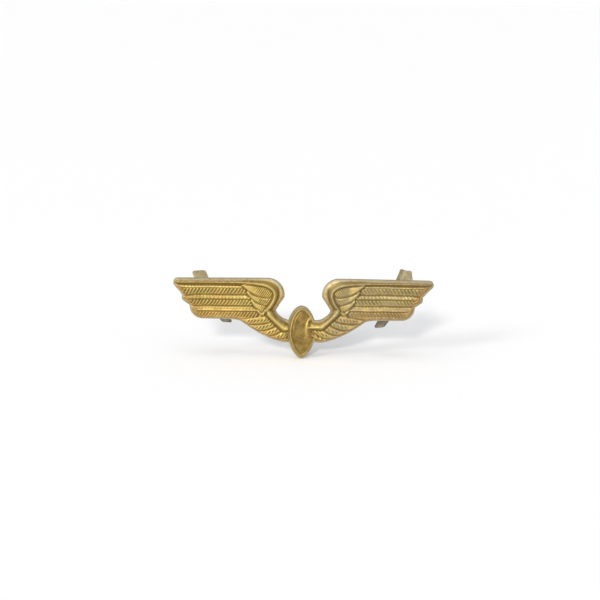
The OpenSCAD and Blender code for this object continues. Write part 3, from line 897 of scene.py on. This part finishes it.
def gilt_brass():
    """Worn gilding: bright on what stands proud, brown patina with painted shade in the grooves, grey-green
    along the bevel.
    """
    m = Nodes("gilt_brass")
    place = m.place()
    groove, edge, behind, right, sunk, stain = map(
        m.attribute, ("groove", "edge", "behind", "right", "sunk", "stain"))
    blotch = m.noise(place, 0.30, 5.0, 0.6)
    patch = m.noise(place, 0.85, 5.0, 0.65)
    cloud = m.noise(m.place((0.6, 1, 1.4)), 1.9, 4.0, 0.6)
    grain = m.noise(place, 7.0, 3.0, 0.6)
    colour = m.mix(m.ramp(blotch, 0.38, 0.64), rgb(0.37, 0.283, 0.085), rgb(0.352, 0.228, 0.06))
    colour = m.mix(m.times(m.ramp(patch, 0.48, 0.66), 0.6), colour, rgb(0.277, 0.21, 0.088))
    colour = m.mix(m.times(m.ramp(cloud, 0.55, 0.72), 0.45), colour, rgb(0.437, 0.332, 0.126))
    proud = m.ramp(groove, -0.05, -0.6)
    colour = m.mix(m.times(proud, 0.65), colour, rgb(0.475, 0.375, 0.138))
    tired = m.times(m.times(right, m.ramp(patch, 0.25, 0.55)), 0.75)
    colour = m.mix(tired, colour, rgb(0.28, 0.23, 0.13))
    # Brown stain; above the wheel's hub it is left out, which paints a highlight there.
    browned = m.times(stain, m.ramp(cloud, 0.38, 0.6, 0.1, 0.9))
    colour = m.mix(browned, colour, rgb(0.285, 0.145, 0.045))
    colour = m.mix(m.times(sunk, m.ramp(patch, 0.36, 0.64, 0.1, 1.0)), colour, rgb(0.19, 0.13, 0.042))
    # The grooves' dark brown is patina and painted shade together.
    deep = m.ramp(groove, 0.0, 0.8)
    colour = m.mix(m.times(deep, 0.7), colour, rgb(0.165, 0.108, 0.035))
    rim = m.times(edge, m.ramp(m.noise(place, 1.6, 3.0), 0.25, 0.6, 0.5, 0.95))
    colour = m.mix(m.times(rim, 0.85), colour, rgb(0.57, 0.53, 0.36))
    colour = m.mix(m.times(behind, 0.6), colour, rgb(0.336, 0.244, 0.101))
    colour = m.mix(m.times(behind, m.ramp(patch, 0.4, 0.7, 0, 0.42)), colour, rgb(0.2, 0.13, 0.055))
    colour = m.mix(m.times(behind, m.ramp(blotch, 0.45, 0.7, 0, 0.45)), colour, rgb(0.42, 0.33, 0.16))
    specks = m.ramp(m.noise(place, 11.0, 2.0), 0.68, 0.76)
    colour = m.mix(m.times(specks, 0.6), colour, rgb(0.134, 0.092, 0.042))
    rough = m.ramp(m.plus(patch, m.times(grain, 0.35)), 0.4, 0.95, 0.52, 0.7)
    rough = m.plus(rough, m.times(m.plus(deep, rim), 0.1))
    m.put(m.shader.inputs["Base Color"], colour)
    m.put(m.shader.inputs["Roughness"], rough)
    m.shader.inputs["Metallic"].default_value = 1.0
    scratch = m.noise(m.place((0.5, 1, 6.0)), 2.2, 6.0, 0.7)
    normal = m.bump(grain, 0.3, 0.03)
    normal = m.bump(scratch, 0.2, 0.03, normal)
    normal = m.bump(specks, -0.3, 0.03, normal)
    m.put(m.shader.inputs["Normal"], normal)
    return m.material


def prong_brass():
    """Oxidised brass strip with draw lines along it and dull spots; its tip is darkened by tarnish, and on
    the lower prongs by painted shade.
    """
    m = Nodes("prong_brass")
    place = m.place()
    cloud = m.noise(place, 0.8, 5.0, 0.6)
    spots = m.noise(place, 3.5, 3.0, 0.6)
    colour = m.mix(m.ramp(cloud, 0.35, 0.65), rgb(0.68, 0.58, 0.33), rgb(0.50, 0.40, 0.22))
    colour = m.mix(m.times(m.ramp(spots, 0.55, 0.68), 0.5), colour, rgb(0.20, 0.17, 0.11))
    # Painted shade on the lower prongs' tips, brown tarnish on the right upper prong's tip.
    tarnish_and_shade = m.times(m.attribute("tarnish_and_shade"), m.ramp(cloud, 0.3, 0.6, 0.6, 0.95))
    colour = m.mix(tarnish_and_shade, colour, rgb(0.16, 0.135, 0.095))
    m.put(m.shader.inputs["Base Color"], colour)
    m.put(m.shader.inputs["Roughness"], m.ramp(cloud, 0.3, 0.7, 0.38, 0.58))
    m.shader.inputs["Metallic"].default_value = 1.0
    lines = m.noise(m.place((6, 1, 0.4)), 2.0, 5.0, 0.6)
    m.put(m.shader.inputs["Normal"], m.bump(lines, 0.3, 0.03, m.bump(spots, 0.2, 0.03)))
    return m.material


def solder_metal():
    """Dull tin solder with flux stains."""
    m = Nodes("solder")
    place = m.place()
    cloud = m.noise(place, 1.4, 4.0, 0.6)
    colour = m.mix(m.ramp(cloud, 0.4, 0.7), rgb(0.50, 0.49, 0.46), rgb(0.30, 0.26, 0.19))
    m.put(m.shader.inputs["Base Color"], colour)
    m.put(m.shader.inputs["Roughness"], m.ramp(cloud, 0.3, 0.7, 0.32, 0.6))
    m.shader.inputs["Metallic"].default_value = 1.0
    m.put(m.shader.inputs["Normal"], m.bump(m.noise(place, 5.0, 4.0), 0.35, 0.04))
    return m.material


def table_white():
    """White card with the faintest tooth."""
    m = Nodes("table_white")
    tooth = m.noise(m.place(), 1.2, 3.0)
    m.put(m.shader.inputs["Base Color"], m.mix(tooth, rgb(0.88, 0.88, 0.885), rgb(0.90, 0.90, 0.905)))
    m.shader.inputs["Roughness"].default_value = 0.85
    m.shader.inputs["Specular IOR Level"].default_value = 0.2
    m.put(m.shader.inputs["Normal"], m.bump(tooth, 0.05, 0.02))
    return m.material


# ---------------------------------------------------------------- table, light and camera

VIEW_W = 138.72           # width of the view at the badge, in millimetres
VIEW_LIFT = 10.0          # the camera looks down this many degrees
VIEW_ROLL = 0.75          # and is rolled anticlockwise by this many
LENS = 120.0
SENSOR = 36.0
FOOT_BELOW = 13.64        # the wheel's foot lies this far below the middle of the view
FOOT_RIGHT = 0.58         # and this far to its right
WARM = (1, 0.98, 0.95)


def camera():
    """A long lens in front of the badge, a little above it."""
    lift, roll = math.radians(VIEW_LIFT), math.radians(VIEW_ROLL)
    forward = Vector((0, math.cos(lift), -math.sin(lift)))
    level_up, level_right = Vector((0, math.sin(lift), math.cos(lift))), Vector((1, 0, 0))
    up = level_up * math.cos(roll) - level_right * math.sin(roll)
    right = level_right * math.cos(roll) + level_up * math.sin(roll)
    foot = Vector((0, -CREST / 2 * MM, FOOT_Z * MM))
    target = foot + up * FOOT_BELOW * MM - right * FOOT_RIGHT * MM
    distance = VIEW_W * MM * LENS / SENSOR
    data = bpy.data.cameras.new("camera")
    data.lens, data.sensor_width = LENS, SENSOR
    data.clip_start, data.clip_end = 0.01, 20
    obj = add("camera", data)
    matrix = Matrix((right, up, -forward)).transposed().to_4x4()
    matrix.translation = target - forward * distance
    obj.matrix_world = matrix
    bpy.context.scene.camera = obj


def table(material):
    """A wide flat table top under the wheel's foot."""
    mesh = bpy.data.meshes.new("table")
    z, n, reach = FOOT_Z * MM, 8, 3.0
    spots = np.linspace(-reach, reach, n + 1)
    verts = [(x, y, z) for y in spots for x in spots]
    faces = [(j * (n + 1) + i, j * (n + 1) + i + 1, (j + 1) * (n + 1) + i + 1, (j + 1) * (n + 1) + i)
             for j in range(n) for i in range(n)]
    mesh.from_pydata(verts, [], faces)
    mesh.materials.append(material)
    add("table", mesh)


def soft_light(name, azimuth, elevation, spread, strength, colour=(1, 1, 1)):
    """A far soft box, spread degrees across. Azimuth 0 is in front of the face, and + is to its right."""
    data = bpy.data.lights.new(name, "SUN")
    data.angle, data.energy, data.color = math.radians(spread), strength, colour
    obj = add(name, data)
    a, e = math.radians(azimuth), math.radians(elevation)
    back = Vector((math.sin(a) * math.cos(e), -math.cos(a) * math.cos(e), math.sin(e)))
    obj.location = back * 0.5
    obj.rotation_mode = "QUATERNION"
    obj.rotation_quaternion = back.to_track_quat("Z", "Y")


def world():
    """White to the camera, and a softer grey in what the metal reflects."""
    made = bpy.data.worlds.new("studio")
    made.use_nodes = True
    tree = made.node_tree
    tree.nodes.clear()
    out = tree.nodes.new("ShaderNodeOutputWorld")
    mix = tree.nodes.new("ShaderNodeMixShader")
    path = tree.nodes.new("ShaderNodeLightPath")
    tree.links.new(path.outputs["Is Camera Ray"], mix.inputs[0])
    for socket, colour, strength in ((1, rgb(0.96, 0.975, 1.0), 0.5), (2, rgb(1, 1, 1), 1.0)):
        sky = tree.nodes.new("ShaderNodeBackground")
        sky.inputs["Color"].default_value, sky.inputs["Strength"].default_value = colour, strength
        tree.links.new(sky.outputs[0], mix.inputs[socket])
    tree.links.new(mix.outputs[0], out.inputs[0])
    bpy.context.scene.world = made


camera()
world()
bpy.context.scene.view_settings.view_transform = "Standard"
table(table_white())
soft_light("key", -8, 18.5, 6, 2.6, WARM)
soft_light("side", -38, 24, 14, 1.0, WARM)
soft_light("top", -30, 62, 80, 0.95)

finishes = {"gilt_brass": gilt_brass(), "prong_brass": prong_brass(), "solder": solder_metal()}
for piece, body, node, slot in [(struck_plate(), "badge", "badge_shell", "gilt_brass"), *fasteners()]:
    piece.data.materials.append(finishes[slot])
    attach(piece, body)
    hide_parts(node)
